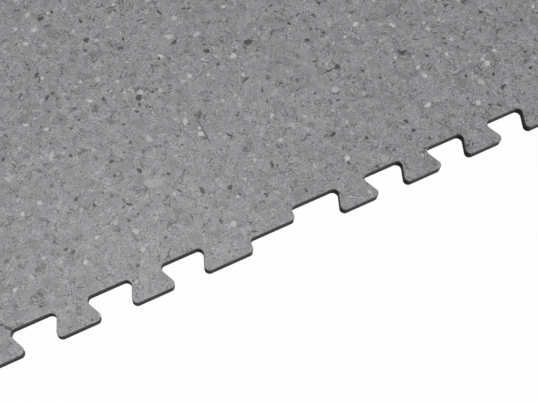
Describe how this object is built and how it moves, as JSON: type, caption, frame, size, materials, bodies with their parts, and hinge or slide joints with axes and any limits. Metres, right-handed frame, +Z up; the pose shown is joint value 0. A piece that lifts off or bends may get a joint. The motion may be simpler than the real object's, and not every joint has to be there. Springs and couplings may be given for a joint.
{
  "type": "interlocking floor tile",
  "caption": "Thin square speckled PVC floor tile with a dark backing; dovetailed teeth and sockets on every side lock into like tiles.",
  "frame": {"origin": "middle of the underside", "axes": "+Z up through the walking face; the four sides face -Y (front), +X (right), +Y (back) and -X (left), and all four are alike"},
  "size_m": [0.6518, 0.6518, 0.006],
  "materials": {
    "backing_pvc": "matte, plain charcoal",
    "speckled_pvc": "satin, grey with light and dark chips"
  },
  "bodies": {
    "root": {"backing": "backing_pvc", "wear_layer": "speckled_pvc"}
  },
  "joints": []
}
